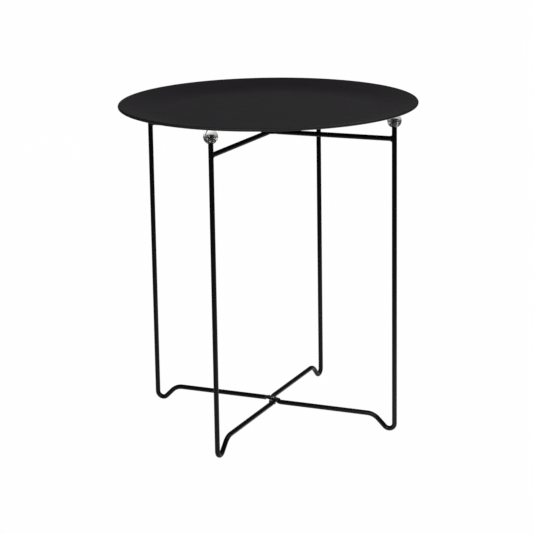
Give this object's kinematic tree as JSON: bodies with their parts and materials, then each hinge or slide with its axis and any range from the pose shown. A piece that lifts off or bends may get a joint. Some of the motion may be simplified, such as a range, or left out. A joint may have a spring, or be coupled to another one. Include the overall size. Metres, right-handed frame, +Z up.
{
  "type": "folding side table",
  "caption": "Small round side table: a loose black metal tray resting on clear balls at the tips of a folding crossed wire frame.",
  "frame": {"origin": "on the floor, on the upright pivot axis at the middle of the table", "axes": "+Z up; +X along frame 1 towards its front right leg; +Y along frame 2 towards its rear right leg"},
  "size_m": [0.45, 0.45, 0.5],
  "materials": {
    "tray_coat": "matte black powder coat",
    "frame_coat": "satin black powder coat",
    "clear_plastic": "clear polished acrylic",
    "rivet_steel": "dull plated steel",
    "nylon": "natural nylon"
  },
  "bodies": {
    "frame_1": {"frame_1_leg_wire": "frame_coat", "frame_1_crossbar": "frame_coat", "ball_front_right": "clear_plastic", "ball_rear_left": "clear_plastic", "lower_pivot_rivet": "rivet_steel", "upper_pivot_rivet": "rivet_steel", "lower_pivot_washer": "nylon", "upper_pivot_washer": "nylon"},
    "frame_2": {"frame_2_leg_wire": "frame_coat", "frame_2_crossbar": "frame_coat", "ball_rear_right": "clear_plastic", "ball_front_left": "clear_plastic"},
    "tray": {"tray": "tray_coat"}
  },
  "joints": [
    {"name": "frame_fold", "type": "hinge", "parent": "frame_1", "child": "frame_2", "pos_m": [0, 0, 0.24], "axis": [0, 0, 1], "range_deg": [-83.8, 5]},
    {"name": "tray_lift", "type": "slide", "parent": "frame_1", "child": "tray", "axis": [0, 0, 1], "range_m": [0, 0.15]}
  ]
}
